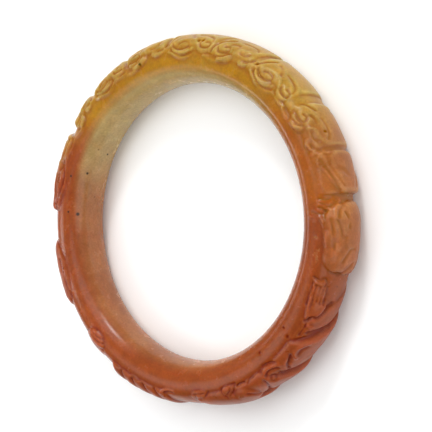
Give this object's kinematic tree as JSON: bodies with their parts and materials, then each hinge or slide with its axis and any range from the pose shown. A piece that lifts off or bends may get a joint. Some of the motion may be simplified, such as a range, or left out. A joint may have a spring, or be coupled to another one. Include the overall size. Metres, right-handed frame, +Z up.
{
  "type": "carved jade bangle",
  "caption": "Closed stone bangle with a rounded section, polished bore, and an outer face carved with cloud scrolls and a coiled dragon.",
  "frame": {"origin": "middle of the outer outline, on the plane of the flat foot that the bangle lies on; the bore's axis is 0.6 mm from it", "axes": "+Z up along the bore's axis, out of the face that the picture shows; +X towards the dragon's head, where the clouds begin; +Y towards the middle of the cloud half"},
  "size_m": [0.0764, 0.0758, 0.0113],
  "materials": {
    "jade": "polished translucent jade, amber yellow on the cloud half and russet red on the dragon half"
  },
  "bodies": {
    "root": {"bangle": "jade"}
  },
  "joints": []
}
